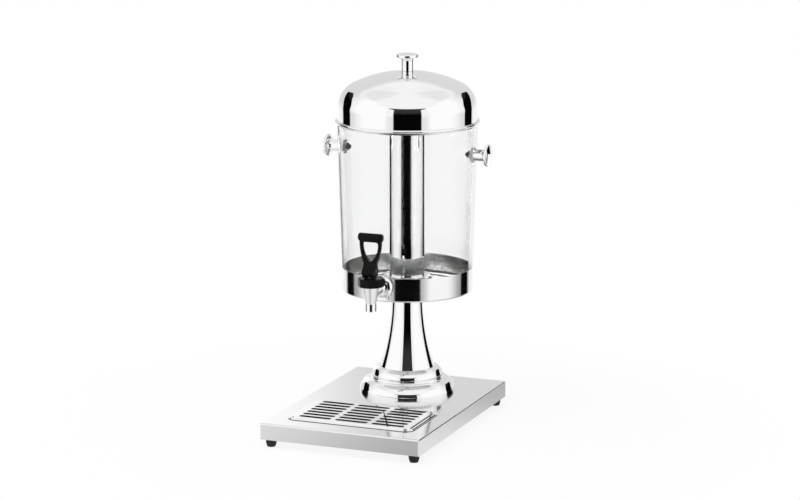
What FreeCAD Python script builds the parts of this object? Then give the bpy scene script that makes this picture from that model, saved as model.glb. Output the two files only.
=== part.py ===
import FreeCAD, Part
import math
import os

# Cold juice dispenser: a clear tank with a central ice tube and a lever tap, on a pedestal
# that stands on a flat base with a drip tray. Millimetres, +Z up, the tap faces -Y.
# The origin lies under the middle of the whole object's box, at the bottom of the feet.

Vector = FreeCAD.Vector
X_AXIS = Vector(1, 0, 0)
Y_AXIS = Vector(0, 1, 0)
Z_AXIS = Vector(0, 0, 1)

# Base
base_width = 260.0
base_length = 380.0
base_height = 25.5
base_sheet = 1.2
base_bend_radius = 2.4
bottom_plate_sheet = 1.5
bottom_plate_gap = 0.2

# Feet
foot_height = 12.5
foot_top_diameter = 16.0
foot_bottom_diameter = 12.5
foot_bulge = 1.0
foot_inset = 13.0
foot_screw_diameter = 4.0
foot_screw_head_diameter = 7.0
foot_screw_head_height = 2.6
foot_screw_head_depth = 3.5
foot_nut_across_flats = 7.0
foot_nut_height = 3.2

# Pedestal
column_from_back = 101.5
pedestal_sheet = 1.2
neck_top_radius = 25.0
neck_flare_radius = 352.0
neck_straight = 8.4
neck_top_height = 160.4
upper_bead_radius = 14.0
upper_bead_height = 25.0
upper_bead_end_angle = 118.0
lower_bead_radius = 19.0
lower_bead_height = 1.0
lower_bead_step = 14.6
bead_groove_radius = 3.0
pedestal_ring_width = 17.0
pedestal_ring_thickness = 4.0
pedestal_ring_gap = 0.5
pedestal_bolt_diameter = 5.0
pedestal_bolt_head_diameter = 8.5
pedestal_bolt_head_height = 3.2
pedestal_bolt_count = 4
pedestal_bolt_turn = 45.0
socket_depth = 30.0

# Drip tray and its grid
tray_width = 208.0
tray_length = 122.0
tray_corner_radius = 16.0
tray_sheet = 1.0
tray_flange = 6.5
tray_depth = 17.0
tray_floor_radius = 4.0
tray_edge_radius = 0.6
tray_from_front = 34.0
tray_clearance = 1.0
grid_margin = 2.5
grid_lip = 4.0
grid_rise = 1.6
grid_sheet = 1.0
grid_edge_radius = 1.3
slot_columns = 3
slot_rows = 7
slot_width = 9.0
slot_bridge = 7.0
slot_side_margin = 11.0
slot_end_margin = 5.0

# Band under the tank
band_radius = 103.4
band_height = 37.3
band_sheet = 1.0
band_bend_radius = 2.5

# Tank
tank_height = 265.2
tank_taper = 6.7
tank_wall = 3.0
tank_floor = 5.5
tank_floor_radius = 6.0
tank_shoulder_overhang = 0.1
tank_band_gap = 0.3
tank_foot_chamfer = 3.0
boss_height = 13.1
boss_top_radius = 38.0
boss_slope = 8.0
boss_wall = 4.0
boss_side_wall = 4.8

# Ice tube and the clamp that holds the tank together
ice_tube_radius = 28.1
ice_tube_wall = 1.0
ice_tube_below_rim = 7.0
ice_tube_floor = 2.0
ice_tube_rim_radius = 1.2
ice_tube_foot_radius = 36.0
ice_tube_foot_height = 3.0
ice_tube_foot_round = 1.0
gasket_thickness = 2.0
gasket_inset = 1.0
stud_radius = 8.0
stud_end_gap = 3.0
spacer_radius = 14.0
spigot_radius = 15.9
spigot_length = 22.0
spigot_flange_radius = 22.0
spigot_flange_height = 2.0
spigot_chamfer = 1.3

# Lid
lid_sheet = 1.0
lid_wall_inset = 0.6
lid_wall_height = 22.4
lid_dome_rise = 57.5
lid_shoulder_radius = 42.0
lid_bead_radius = 2.1
lid_bead_overlap = 0.2
lid_ring_sheet = 1.0
lid_ring_drop = 3.5
lid_ring_gap = 0.8

# Turned knob, the same on the lid and on both sides
knob_head_diameter = 35.0
knob_stem_diameter = 18.6
knob_stem_length = 15.5
knob_flare_height = 6.0
knob_flare_spread = 0.24
knob_flare_lift = 0.66
knob_rim_height = 4.4
knob_rim_round = 1.2
knob_crown_height = 2.6
knob_screw_diameter = 6.0
knob_thread_depth = 14.0
lid_screw_head_diameter = 10.0
lid_screw_head_height = 4.0
lid_washer_diameter = 20.0
lid_washer_thickness = 1.5

# Side knobs
side_knob_below_rim = 44.6
side_gasket_diameter = 24.0
side_gasket_thickness = 2.0
side_stud_diameter = 6.0
side_washer_diameter = 14.0
side_washer_thickness = 1.5
side_nut_across_flats = 10.0
side_nut_height = 4.0
side_nut_dome_radius = 4.2

# Tap
tap_reach = 46.6
tap_shank_above_band = 24.6
shank_thread_radius = 7.9
shank_bore_radius = 4.5
shank_hub_radius = 9.5
shank_end_from_wall = 12.0
rosette_radius = 17.6
rosette_thickness = 2.2
rosette_dome = 3.4
rosette_fullness = 0.75
outer_gasket_radius = 16.0
outer_gasket_thickness = 2.0
inner_gasket_radius = 12.0
inner_gasket_thickness = 3.6
lock_nut_across_flats = 24.0
lock_nut_height = 6.0
outlet_radius = 8.6
outlet_bore_radius = 5.0
outlet_length = 12.3
outlet_round = 1.0
cone_foot_radius = 8.2
cone_top_radius = 13.4
cone_height = 27.2
cone_above_shank = 10.2
collar_radius = 12.0
collar_height = 8.8
chamber_radius = 8.6
seat_below_shank = 5.0
bonnet_across_flats = 38.0
bonnet_height = 12.9
bonnet_chamfer = 1.2
bonnet_turn = -9.0
bonnet_roof = 3.2
stem_diameter = 6.0
stem_above_pin = 4.5
seat_cup_radius = 8.2
seat_cup_height = 4.6
seat_cup_floor = 1.2
seat_cup_round = 1.4
spring_inner_radius = 3.6
spring_outer_radius = 6.8

# Tap handle
handle_pin_diameter = 3.0
pin_above_bonnet = 12.0
cam_offset = 4.0
cam_clearance = 0.3
handle_tilt_limit = 50.0
block_width = 17.8
block_height = 26.0
block_neck_depth = 8.0
slot_side_gap = 0.3
slot_end_gap = 0.5
grip_diameter = 12.6
grip_length = 39.6
grip_round = 2.5
grip_above_bonnet = 63.2
arm_top_half_width = 17.0
arm_waist_half_width = 13.9
arm_waist_rise = 34.4
arm_foot_rise = 21.0
window_top_half_width = 13.3
window_top_round = 4.0
window_waist_half_width = 10.6
window_waist_rise = 37.9
window_foot_half_width = 4.6
window_foot_rise = 28.3
window_bottom_rise = 26.2

# Fits
thread_gap = 0.05
running_gap = 0.08
bolt_hole_gap = 0.3

# Heights worked out from the sizes above
deck_z = foot_height + base_height
neck_top_z = deck_z + neck_top_height
band_bottom_z = neck_top_z + spigot_flange_height
band_top_z = band_bottom_z + band_height
tank_bottom_z = band_bottom_z + band_sheet
tank_floor_z = tank_bottom_z + tank_floor
tank_top_z = tank_bottom_z + tank_height
boss_top_z = tank_floor_z + boss_height
boss_under_z = boss_top_z - boss_wall
tube_foot_z = boss_top_z + gasket_thickness
tube_bottom_z = tube_foot_z + ice_tube_foot_height
tube_top_z = tank_top_z - ice_tube_below_rim
shoulder_z = tank_top_z + lid_ring_sheet + lid_wall_height
lid_apex_z = shoulder_z + lid_dome_rise
side_knob_z = tank_top_z - side_knob_below_rim
shank_z = band_bottom_z + tap_shank_above_band
seat_z = shank_z - seat_below_shank
cone_top_z = shank_z + cone_above_shank
cone_foot_z = cone_top_z - cone_height
outlet_z = cone_foot_z - outlet_length
bonnet_top_z = cone_top_z + bonnet_height
pin_z = bonnet_top_z + pin_above_bonnet

# Radii worked out from the sizes above
tank_foot_radius = band_radius - band_sheet - tank_band_gap
tank_shoulder_radius = band_radius + tank_shoulder_overhang
tank_top_radius = tank_shoulder_radius + tank_taper
tank_shoulder_z = band_top_z + tank_band_gap
lid_wall_radius = tank_top_radius - lid_wall_inset
lid_bead_centre = lid_wall_radius - lid_bead_overlap + lid_bead_radius
lid_rim_radius = lid_bead_centre + lid_bead_radius

# Plan positions: the base and what overhangs it share one box, whose middle is the origin
column_from_middle = base_length / 2 - column_from_back
back_reach = max(base_length / 2, column_from_middle + lid_rim_radius)
base_y = (base_length / 2 - back_reach) / 2
column_y = base_y + column_from_middle
tray_y = base_y - base_length / 2 + tray_from_front + tray_length / 2
tap_y = column_y - band_radius - tap_reach


def outline(*steps):
    """Closed face in the XZ plane. A pair ends a line; a pair of pairs is an arc's middle and end."""
    edges = []
    here = steps[0]
    for step in steps[1:] + (steps[0],):
        end = step[1] if isinstance(step[0], tuple) else step
        if math.dist(here, end) < 1e-6:
            continue
        if end is step:
            edges.append(Part.LineSegment(flat(here), flat(end)).toShape())
        else:
            edges.append(Part.Arc(flat(here), flat(step[0]), flat(end)).toShape())
        here = end
    return Part.Face(Part.Wire(edges))


def flat(pair):
    """Point of the XZ plane."""
    return Vector(pair[0], 0, pair[1])


def on_circle(centre, radius, degrees):
    """Point of a circle in the XZ plane."""
    angle = math.radians(degrees)
    return (centre[0] + radius * math.cos(angle), centre[1] + radius * math.sin(angle))


def swing(centre, radius, start, end):
    """Arc step about a centre, from one angle to another."""
    return (on_circle(centre, radius, (start + end) / 2), on_circle(centre, radius, end))


def turned(*steps):
    """Solid of revolution about Z from an outline of radius and height."""
    return outline(*steps).revolve(Vector(0, 0, 0), Z_AXIS, 360)


def retrace(start, steps):
    """The same chain of lines and arcs, walked from its end back to its start."""
    points = [start] + [step[1] if isinstance(step[0], tuple) else step for step in steps]
    back = [points[-1]]
    for index in range(len(steps) - 1, -1, -1):
        step = steps[index]
        goal = points[index]
        back.append((step[0], goal) if isinstance(step[0], tuple) else goal)
    return back


def sheet_shell(path, thickness):
    """Spun sheet: the path's outside chain, and the same chain inset by the thickness."""
    outside_start, outside = path(0)
    inside_start, inside = path(thickness)
    return turned(outside_start, *outside, *retrace(inside_start, inside))


def on_column(shape):
    """Moves a shape made about Z to the tank's axis."""
    return shape.translated(Vector(0, column_y, 0))


def on_tap(shape):
    """Moves a shape made about Z to the tap's axis."""
    return shape.translated(Vector(0, tap_y, 0))


def rod(radius, height, place, direction=Z_AXIS):
    """Cylinder from a place along a direction."""
    return Part.makeCylinder(radius, height, place, direction)


def rounded_plate(width, length, corner, height, middle_y, bottom_z):
    """Plate with rounded corners, centred across the object."""
    half_x = width / 2
    half_y = length / 2
    bend = corner * (1 - math.sqrt(0.5))
    corners = []
    for sign_x, sign_y in ((1, 1), (-1, 1), (-1, -1), (1, -1)):
        along = (sign_x * half_x, sign_y * (half_y - corner))
        across = (sign_x * (half_x - corner), sign_y * half_y)
        middle = (sign_x * (half_x - bend), sign_y * (half_y - bend))
        first, last = (along, across) if sign_x * sign_y > 0 else (across, along)
        corners += [first, (middle, last)]
    face = outline(*corners)
    solid = face.extrude(Vector(0, -height, 0))
    solid.rotate(Vector(0, 0, 0), X_AXIS, 90)
    low = solid.BoundBox.ZMin
    return solid.translated(Vector(0, middle_y, bottom_z - low))


def prism(sides, across_flats, height, turn=0.0):
    """Regular prism standing on the XY plane, with one flat across +Y before the turn."""
    radius = across_flats / 2 / math.cos(math.pi / sides)
    corners = []
    for index in range(sides + 1):
        angle = math.radians(90 + turn + (index + 0.5) * 360 / sides)
        corners.append(Vector(radius * math.cos(angle), radius * math.sin(angle), 0))
    return Part.Face(Part.makePolygon(corners)).extrude(Vector(0, 0, height))


def laid(shape, direction, place):
    """Turns a shape made along +Z to a direction and moves its origin to a place."""
    copy = shape.copy()
    copy.Placement = FreeCAD.Placement(place, FreeCAD.Rotation(Z_AXIS, direction))
    return copy


def edges_at(shape, height):
    """Edges that lie whole at a height."""
    found = []
    for edge in shape.Edges:
        box = edge.BoundBox
        if abs(box.ZMin - height) < 1e-4 and abs(box.ZMax - height) < 1e-4:
            found.append(edge)
    return found


def foot_places():
    """Plan positions of the four feet."""
    reach_x = base_width / 2 - foot_inset
    reach_y = base_length / 2 - foot_inset
    return [(x, base_y + y) for x in (-reach_x, reach_x) for y in (-reach_y, reach_y)]


def group(solids):
    """Several separate solids in one node."""
    return Part.makeCompound(solids)


# Base and feet

def folded_box(width, length, height, bend, bottom_z):
    """Box with its top and upright edges rounded."""
    corner = Vector(-width / 2, base_y - length / 2, bottom_z)
    box = Part.makeBox(width, length, height, corner)
    top = bottom_z + height
    edges = [edge for edge in box.Edges if edge.BoundBox.ZMax > top - 1e-4]
    return box.makeFillet(bend, edges)


def make_base_shell():
    outside = folded_box(base_width, base_length, base_height, base_bend_radius, foot_height)
    inside = folded_box(base_width - 2 * base_sheet, base_length - 2 * base_sheet,
                        base_height - base_sheet, base_bend_radius - base_sheet, foot_height)
    shell = outside.cut(inside)
    opening = rounded_plate(pan_width + 2 * tray_clearance, pan_length + 2 * tray_clearance,
                            pan_corner + tray_clearance, 2 * base_sheet, tray_y, deck_z - 1.5 * base_sheet)
    holes = []
    for x, y in pedestal_bolt_places():
        holes.append(rod(pedestal_bolt_diameter / 2 + bolt_hole_gap, 3 * base_sheet,
                         Vector(x, y, deck_z - 2 * base_sheet)))
    return shell.cut([opening] + holes)


def make_base_bottom_plate():
    margin = base_sheet + bottom_plate_gap
    width = base_width - 2 * margin
    length = base_length - 2 * margin
    corner = base_bend_radius - bottom_plate_gap
    plate = rounded_plate(width, length, corner, bottom_plate_sheet, base_y, foot_height)
    holes = []
    for x, y in foot_places():
        holes.append(rod(foot_screw_diameter / 2 + thread_gap, 3 * bottom_plate_sheet,
                         Vector(x, y, foot_height - bottom_plate_sheet)))
    return plate.cut(holes)


def make_rubber_feet():
    bore = foot_screw_diameter / 2 + thread_gap
    well = foot_screw_head_diameter / 2 + bolt_hole_gap
    well_top = foot_screw_head_depth + foot_screw_head_height
    waist = (foot_top_diameter + foot_bottom_diameter) / 4
    bulge = (waist + foot_bulge, foot_height / 2)
    foot = turned((well, 0), (foot_bottom_diameter / 2, 0), (bulge, (foot_top_diameter / 2, foot_height)),
                  (bore, foot_height), (bore, well_top), (well, well_top))
    return group([foot.translated(Vector(x, y, 0)) for x, y in foot_places()])


def make_foot_screws():
    head_top = foot_screw_head_depth + foot_screw_head_height
    end = foot_height + bottom_plate_sheet + foot_nut_height
    radius = foot_screw_diameter / 2
    head = foot_screw_head_diameter / 2
    screw = turned((0, foot_screw_head_depth), (head, foot_screw_head_depth), (head, head_top),
                   (radius, head_top), (radius, end), (0, end))
    return group([screw.translated(Vector(x, y, 0)) for x, y in foot_places()])


def make_foot_nuts():
    bottom = foot_height + bottom_plate_sheet
    nut = prism(6, foot_nut_across_flats, foot_nut_height)
    bore = rod(foot_screw_diameter / 2 + thread_gap, foot_nut_height, Vector(0, 0, 0))
    nut = nut.cut(bore)
    return group([nut.translated(Vector(x, y, bottom)) for x, y in foot_places()])


# Pedestal

def neck_path(inset):
    """Outside of the trumpet neck from its foot up to its rim, moved in by an inset."""
    foot_z = deck_z + upper_bead_height + upper_bead_radius
    straight_z = neck_top_z - neck_straight
    centre = (neck_top_radius + neck_flare_radius, straight_z)
    radius = neck_flare_radius + inset
    drop = math.degrees(math.asin((straight_z - foot_z) / radius))
    start = on_circle(centre, radius, 180 + drop)
    return start, [swing(centre, radius, 180 + drop, 180), (neck_top_radius - inset, neck_top_z)]


def bead_centres():
    """Centres of the lower and upper bead, and of the groove that joins them."""
    upper = (neck_path(pedestal_sheet)[0][0], deck_z + upper_bead_height)
    lower = (upper[0] + lower_bead_step, deck_z + lower_bead_height)
    reach_lower = lower_bead_radius + bead_groove_radius
    reach_upper = upper_bead_radius + bead_groove_radius
    apart = math.dist(lower, upper)
    along = (apart ** 2 + reach_lower ** 2 - reach_upper ** 2) / (2 * apart)
    out = math.sqrt(reach_lower ** 2 - along ** 2)
    unit = ((upper[0] - lower[0]) / apart, (upper[1] - lower[1]) / apart)
    groove = (lower[0] + unit[0] * along + unit[1] * out, lower[1] + unit[1] * along - unit[0] * out)
    return lower, upper, groove


def bearing(start, end):
    """Direction from one point to another, in degrees."""
    return math.degrees(math.atan2(end[1] - start[1], end[0] - start[0]))


def pedestal_foot_path(inset):
    """Outside of the stepped foot from the base up to the neck, moved in by an inset."""
    lower, upper, groove = bead_centres()
    lower_radius = lower_bead_radius - inset
    upper_radius = upper_bead_radius - inset
    first = -math.degrees(math.asin(lower_bead_height / lower_radius))
    start = on_circle(lower, lower_radius, first)
    groove_start = bearing(groove, lower) % 360
    groove_end = bearing(groove, upper) % 360
    return start, [
        swing(lower, lower_radius, first, bearing(lower, groove)),
        swing(groove, bead_groove_radius + inset, groove_start, groove_end),
        swing(upper, upper_radius, bearing(upper, groove), upper_bead_end_angle),
    ]


def make_pedestal_neck():
    return on_column(sheet_shell(neck_path, pedestal_sheet))


def make_pedestal_foot():
    return on_column(sheet_shell(pedestal_foot_path, pedestal_sheet))


def pedestal_ring_radius():
    return pedestal_foot_path(pedestal_sheet)[0][0] - pedestal_ring_gap


def pedestal_bolt_places():
    circle = pedestal_ring_radius() - pedestal_ring_width / 2
    places = []
    for index in range(pedestal_bolt_count):
        angle = math.radians(pedestal_bolt_turn + index * 360 / pedestal_bolt_count)
        places.append((circle * math.cos(angle), column_y + circle * math.sin(angle)))
    return places


def make_pedestal_ring():
    outer = pedestal_ring_radius()
    inner = outer - pedestal_ring_width
    top = deck_z + pedestal_ring_thickness
    ring = on_column(turned((inner, deck_z), (outer, deck_z), (outer, top), (inner, top)))
    bores = []
    for x, y in pedestal_bolt_places():
        bores.append(rod(pedestal_bolt_diameter / 2 + thread_gap, pedestal_ring_thickness,
                         Vector(x, y, deck_z)))
    return ring.cut(bores)


def make_pedestal_bolts():
    under = deck_z - base_sheet
    low = under - pedestal_bolt_head_height
    top = deck_z + pedestal_ring_thickness
    head = pedestal_bolt_head_diameter / 2
    radius = pedestal_bolt_diameter / 2
    bolt = turned((0, low), (head, low), (head, under), (radius, under), (radius, top), (0, top))
    return group([bolt.translated(Vector(x, y, 0)) for x, y in pedestal_bolt_places()])


def make_neck_socket():
    outer = neck_top_radius - pedestal_sheet - thread_gap
    inner = spigot_radius + running_gap
    bottom = neck_top_z - socket_depth
    return on_column(turned((inner, bottom), (outer, bottom), (outer, neck_top_z), (inner, neck_top_z)))


# Drip tray

pan_width = tray_width - 2 * tray_flange
pan_length = tray_length - 2 * tray_flange
pan_corner = tray_corner_radius - tray_flange
rim_z = deck_z + tray_sheet
grid_top_z = rim_z + grid_sheet + grid_rise
field_inset = grid_margin + grid_lip
field_width = tray_width - 2 * field_inset
field_length = tray_length - 2 * field_inset


def make_drip_tray():
    bottom = deck_z - tray_depth
    flange = rounded_plate(tray_width, tray_length, tray_corner_radius, tray_sheet, tray_y, deck_z)
    flange = flange.makeFillet(tray_edge_radius, edges_at(flange, rim_z))
    pan = rounded_plate(pan_width, pan_length, pan_corner, tray_depth, tray_y, bottom)
    pan = pan.makeFillet(tray_floor_radius, edges_at(pan, bottom))
    inside_floor = bottom + tray_sheet
    inside = rounded_plate(pan_width - 2 * tray_sheet, pan_length - 2 * tray_sheet, pan_corner - tray_sheet,
                           rim_z - inside_floor, tray_y, inside_floor)
    inside = inside.makeFillet(tray_floor_radius - tray_sheet, edges_at(inside, inside_floor))
    return flange.fuse(pan).cut(inside).removeSplitter()


def slot_places():
    """Middles of the grid's slots, and the length of each."""
    room_x = field_width - 2 * slot_side_margin
    length = (room_x - (slot_columns - 1) * slot_bridge) / slot_columns
    pitch_x = length + slot_bridge
    pitch_y = (field_length - 2 * slot_end_margin - slot_width) / (slot_rows - 1)
    places = []
    for column in range(slot_columns):
        for row in range(slot_rows):
            x = (column - (slot_columns - 1) / 2) * pitch_x
            y = tray_y + (row - (slot_rows - 1) / 2) * pitch_y
            places.append((x, y))
    return places, length


def make_drip_grid():
    lip_top = rim_z + grid_sheet
    lip = rounded_plate(tray_width - 2 * grid_margin, tray_length - 2 * grid_margin,
                        tray_corner_radius - grid_margin, grid_sheet, tray_y, rim_z)
    corner = tray_corner_radius - field_inset
    field = rounded_plate(field_width, field_length, corner, grid_rise, tray_y, lip_top)
    field = field.makeFillet(grid_edge_radius, edges_at(field, grid_top_z))
    hollow = rounded_plate(field_width - 2 * grid_sheet, field_length - 2 * grid_sheet, corner - grid_sheet,
                           grid_rise, tray_y, rim_z)
    hollow = hollow.makeFillet(grid_edge_radius - grid_sheet, edges_at(hollow, rim_z + grid_rise))
    plate = lip.fuse(field).cut(hollow)
    places, length = slot_places()
    slot = rounded_plate(length, slot_width, slot_width / 2 - thread_gap, 3 * grid_sheet,
                         0, grid_top_z - 2 * grid_sheet)
    return plate.cut([slot.translated(Vector(x, y, 0)) for x, y in places])


# Band, tank and ice tube

def make_tank_band():
    hole = stud_radius + bolt_hole_gap
    bottom = band_bottom_z
    floor = band_bottom_z + band_sheet
    centre = (band_radius - band_bend_radius, bottom + band_bend_radius)
    inside = band_radius - band_sheet
    band = turned((hole, bottom), (centre[0], bottom), swing(centre, band_bend_radius, -90, 0),
                  (band_radius, band_top_z), (inside, band_top_z), (inside, centre[1]),
                  swing(centre, band_bend_radius - band_sheet, 0, -90), (hole, floor))
    return on_column(band).cut(shank_hole())


def tank_radius_at(height):
    """Outside radius of the tapered tank wall."""
    share = (height - tank_shoulder_z) / (tank_top_z - tank_shoulder_z)
    return tank_shoulder_radius + share * (tank_top_radius - tank_shoulder_radius)


def tank_bore_at(height):
    """Inside radius of the tank behind the band."""
    low = tank_foot_radius - tank_wall
    share = (height - tank_floor_z) / (tank_shoulder_z - tank_floor_z)
    return low + share * (tank_shoulder_radius - tank_wall - low)


def tank_outside():
    """Everything within the outside of the tank's wall, from its foot to its rim."""
    return on_column(turned((0, tank_bottom_z), (tank_foot_radius, tank_bottom_z),
                            (tank_foot_radius, tank_shoulder_z), (tank_shoulder_radius, tank_shoulder_z),
                            (tank_top_radius, tank_top_z), (0, tank_top_z)))


def tank_inside():
    """Everything within the inside of the tank's wall, from its floor to its rim."""
    return on_column(turned((0, tank_floor_z), (tank_bore_at(tank_floor_z), tank_floor_z),
                            (tank_bore_at(tank_shoulder_z), tank_shoulder_z),
                            (tank_top_radius - tank_wall, tank_top_z), (0, tank_top_z)))


def make_clear_tank():
    hole = stud_radius + bolt_hole_gap
    corner_z = tank_floor_z + tank_floor_radius
    corner_radius = tank_bore_at(corner_z)
    centre = (corner_radius - tank_floor_radius, corner_z)
    boss_foot = boss_top_radius + boss_slope
    cavity_foot = boss_foot - boss_side_wall
    tank = turned(
        (hole, boss_under_z), (boss_top_radius - boss_wall, boss_under_z), (cavity_foot, tank_bottom_z),
        (tank_foot_radius - tank_foot_chamfer, tank_bottom_z),
        (tank_foot_radius, tank_bottom_z + tank_foot_chamfer),
        (tank_foot_radius, tank_shoulder_z), (tank_shoulder_radius, tank_shoulder_z),
        (tank_top_radius, tank_top_z), (tank_top_radius - tank_wall, tank_top_z),
        (tank_shoulder_radius - tank_wall, tank_shoulder_z), (corner_radius, corner_z),
        swing(centre, tank_floor_radius, 0, -90), (boss_foot, tank_floor_z), (boss_top_radius, boss_top_z),
        (hole, boss_top_z))
    holes = [shank_hole()]
    for side in (-1, 1):
        holes.append(rod(side_stud_diameter / 2 + bolt_hole_gap, 4 * tank_wall,
                         Vector(side * (tank_radius_at(side_knob_z) - 3 * tank_wall), column_y, side_knob_z),
                         X_AXIS * side))
    return on_column(tank).cut(holes)


def make_ice_tube():
    inner = ice_tube_radius - ice_tube_wall
    floor = tube_bottom_z + ice_tube_floor
    tube = turned((0, tube_bottom_z), (ice_tube_radius, tube_bottom_z), (ice_tube_radius, tube_top_z),
                  (inner, tube_top_z), (inner, floor), (0, floor))
    rim = Part.makeTorus(ice_tube_radius, ice_tube_rim_radius, Vector(0, 0, tube_top_z))
    bore = rod(inner, 4 * ice_tube_rim_radius, Vector(0, 0, tube_top_z - 2 * ice_tube_rim_radius))
    return on_column(tube.fuse(rim.cut(bore)))


def make_ice_tube_foot():
    stud_bottom = neck_top_z - spigot_length + stud_end_gap
    edge = ice_tube_foot_round
    centre = (ice_tube_foot_radius - edge, tube_bottom_z - edge)
    return on_column(turned((0, stud_bottom), (stud_radius, stud_bottom), (stud_radius, tube_foot_z),
                            (ice_tube_foot_radius, tube_foot_z), (ice_tube_foot_radius, centre[1]),
                            swing(centre, edge, 0, 90), (0, tube_bottom_z)))


def make_ice_tube_gasket():
    hole = stud_radius + bolt_hole_gap
    outer = ice_tube_foot_radius - gasket_inset
    return on_column(turned((hole, boss_top_z), (outer, boss_top_z),
                            (outer, tube_foot_z), (hole, tube_foot_z)))


def make_clamp_spacer():
    hole = stud_radius + bolt_hole_gap
    return on_column(turned((hole, tank_bottom_z), (spacer_radius, tank_bottom_z),
                            (spacer_radius, boss_under_z), (hole, boss_under_z)))


def make_spigot_nut():
    bore = stud_radius + thread_gap
    low = neck_top_z - spigot_length
    return on_column(turned((bore, low), (spigot_radius - spigot_chamfer, low),
                            (spigot_radius, low + spigot_chamfer),
                            (spigot_radius, neck_top_z), (spigot_flange_radius, neck_top_z),
                            (spigot_flange_radius, band_bottom_z), (bore, band_bottom_z)))


# Knobs

def knob_solid(stud_length=0.0, stud=0.0):
    """Turned knob along +Z from its seat, with a stud below it if it has one."""
    head = knob_head_diameter / 2
    stem = knob_stem_diameter / 2
    flare_top = knob_stem_length + knob_flare_height
    flare_middle = (stem + (head - stem) * knob_flare_spread,
                    knob_stem_length + knob_flare_height * knob_flare_lift)
    rim_top = flare_top + knob_rim_height
    low_round = (head - knob_rim_round, flare_top + knob_rim_round)
    high_round = (head - knob_rim_round, rim_top - knob_rim_round)
    crown = (high_round[0] ** 2 + knob_crown_height ** 2) / (2 * knob_crown_height)
    crown_centre = (0, rim_top + knob_crown_height - crown)
    crown_start = math.degrees(math.acos(high_round[0] / crown))
    return turned((0, -stud_length), (stud, -stud_length), (stud, 0), (stem, 0), (stem, knob_stem_length),
                  (flare_middle, (low_round[0], flare_top)), swing(low_round, knob_rim_round, -90, 0),
                  (head, high_round[1]), swing(high_round, knob_rim_round, 0, 90),
                  swing(crown_centre, crown, crown_start, 90))


def make_lid_knob():
    bore = rod(knob_screw_diameter / 2 + thread_gap, knob_thread_depth, Vector(0, 0, 0))
    return on_column(knob_solid().cut(bore).translated(Vector(0, 0, lid_apex_z)))


def side_seat_x():
    """Distance from the tank's axis to the side knobs' seats."""
    return tank_radius_at(side_knob_z) + side_gasket_thickness


def side_nut_x():
    """Distance from the tank's axis to the outer face of the cap nuts inside the tank."""
    return tank_radius_at(side_knob_z) - tank_wall - side_washer_thickness


def side_place(distance, side):
    return Vector(side * distance, column_y, side_knob_z)


def make_side_knob(side):
    stud_length = side_seat_x() - side_nut_x() + side_nut_height
    knob = knob_solid(stud_length, side_stud_diameter / 2)
    return laid(knob, X_AXIS * side, side_place(side_seat_x(), side))


def make_knob_gaskets():
    hole = side_stud_diameter / 2 + bolt_hole_gap
    depth = side_gasket_thickness + tank_wall / 2
    disc = turned((hole, 0), (side_gasket_diameter / 2, 0), (side_gasket_diameter / 2, depth), (hole, depth))
    tank = tank_outside()
    return group([laid(disc, X_AXIS * -side, side_place(side_seat_x(), side)).cut(tank) for side in (-1, 1)])


def make_knob_washers():
    hole = side_stud_diameter / 2 + bolt_hole_gap
    depth = side_washer_thickness + tank_wall / 2
    outer = side_washer_diameter / 2
    disc = turned((hole, 0), (outer, 0), (outer, depth), (hole, depth))
    tank = tank_inside()
    return group([laid(disc, X_AXIS * side, side_place(side_nut_x(), side)).common(tank) for side in (-1, 1)])


def make_knob_cap_nuts():
    bore = rod(side_stud_diameter / 2 + thread_gap, side_nut_height, Vector(0, 0, 0))
    dome = Part.makeSphere(side_nut_dome_radius, Vector(0, 0, side_nut_height))
    nut = prism(6, side_nut_across_flats, side_nut_height).fuse(dome).cut(bore)
    below = rod(side_nut_across_flats, side_nut_across_flats, Vector(0, 0, -side_nut_across_flats))
    nut = nut.cut(below)
    return group([laid(nut, X_AXIS * -side, side_place(side_nut_x(), side)) for side in (-1, 1)])


# Lid

def lid_crown_radius():
    """Outside radius of the flat arc over the lid's top, which meets the shoulder's arc smoothly."""
    reach = lid_wall_radius - lid_shoulder_radius
    squares = reach ** 2 + lid_dome_rise ** 2 - lid_shoulder_radius ** 2
    return squares / (2 * (lid_dome_rise - lid_shoulder_radius))


def lid_path(inset):
    """Outside of the lid from the foot of its wall to the hole under the knob, moved in by an inset."""
    crown = lid_crown_radius()
    shoulder_centre = (lid_wall_radius - lid_shoulder_radius, shoulder_z)
    crown_centre = (0, lid_apex_z - crown)
    turn = bearing(crown_centre, shoulder_centre)
    hole = knob_screw_diameter / 2 + bolt_hole_gap
    last = math.degrees(math.acos(hole / (crown - inset)))
    wall = lid_wall_radius - inset
    return (wall, tank_top_z + lid_ring_sheet), [
        (wall, shoulder_z),
        swing(shoulder_centre, lid_shoulder_radius - inset, 0, turn),
        swing(crown_centre, crown - inset, turn, last),
    ]


def make_lid_shell():
    bead = Part.makeTorus(lid_bead_centre, lid_bead_radius, Vector(0, 0, tank_top_z + lid_bead_radius))
    return on_column(sheet_shell(lid_path, lid_sheet).fuse(bead))


def make_lid_locating_ring():
    inner_wall = tank_top_radius - tank_wall - lid_ring_gap
    taper = tank_top_radius - tank_radius_at(tank_top_z - lid_ring_drop)
    outer = inner_wall - taper
    inner = outer - lid_ring_sheet
    top = tank_top_z + lid_ring_sheet
    edge = lid_wall_radius - lid_bead_overlap
    return on_column(turned((inner, tank_top_z - lid_ring_drop), (outer, tank_top_z - lid_ring_drop),
                            (outer, tank_top_z), (edge, tank_top_z), (edge, top), (inner, top)))


def lid_washer_top():
    """Height of the lid's inside at the washer's edge."""
    inside = lid_crown_radius() - lid_sheet
    sink = inside - math.sqrt(inside ** 2 - (lid_washer_diameter / 2) ** 2)
    return lid_apex_z - lid_sheet - sink


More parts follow.
